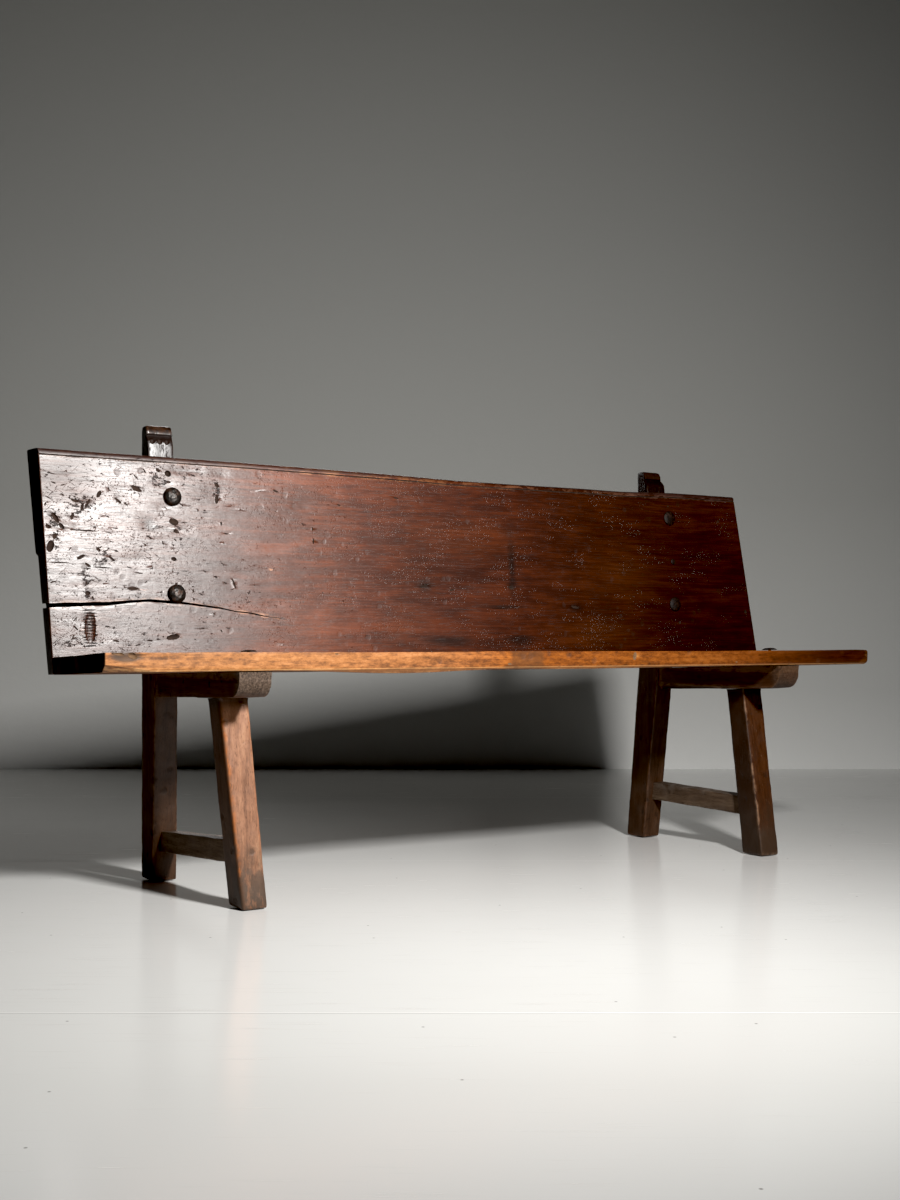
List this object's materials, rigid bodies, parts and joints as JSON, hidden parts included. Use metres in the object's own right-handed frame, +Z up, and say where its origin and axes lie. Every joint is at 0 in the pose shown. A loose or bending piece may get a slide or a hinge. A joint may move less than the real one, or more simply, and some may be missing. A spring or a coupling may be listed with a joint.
{
  "type": "monks bench",
  "caption": "Long rustic wooden monks' bench with a thick plank seat, a wide leaning back plank, splayed trestle legs with low stretchers, and forged nails.",
  "frame": {"origin": "centre of the bench on the floor, under the middle of its overall box", "axes": "+X to the right along the seat, seen from the front; -Y to the front; +Z up"},
  "size_m": [1.7922, 0.5258, 0.91],
  "materials": {
    "seat_wood": "old walnut, front edge worn to bright orange tan, waxed",
    "back_wood": "dark red-brown walnut, polished by use, split, nicked and wormed",
    "trestle_wood": "dark walnut, edges worn to orange brown",
    "stretcher_wood": "dry grey brown, never waxed",
    "wedge_wood": "dry split oak",
    "nail_iron": "forged, brown with age"
  },
  "bodies": {
    "root": {"bearer_left": "trestle_wood", "front_leg_left": "trestle_wood", "rear_post_left": "trestle_wood", "stretcher_left": "stretcher_wood", "leg_wedge_left": "wedge_wood", "bearer_wedge_left": "wedge_wood", "bearer_right": "trestle_wood", "front_leg_right": "trestle_wood", "rear_post_right": "trestle_wood", "stretcher_right": "stretcher_wood", "leg_wedge_right": "wedge_wood", "bearer_wedge_right": "wedge_wood", "seat_plank": "seat_wood", "back_plank": "back_wood", "back_nail_left_upper": "nail_iron", "back_nail_left_lower": "nail_iron", "back_nail_right_upper": "nail_iron", "back_nail_right_middle": "nail_iron", "back_nail_right_lower": "nail_iron", "seat_nail_left_front": "nail_iron", "seat_nail_left_rear": "nail_iron", "seat_nail_right_front": "nail_iron", "seat_nail_right_rear": "nail_iron"}
  },
  "joints": []
}
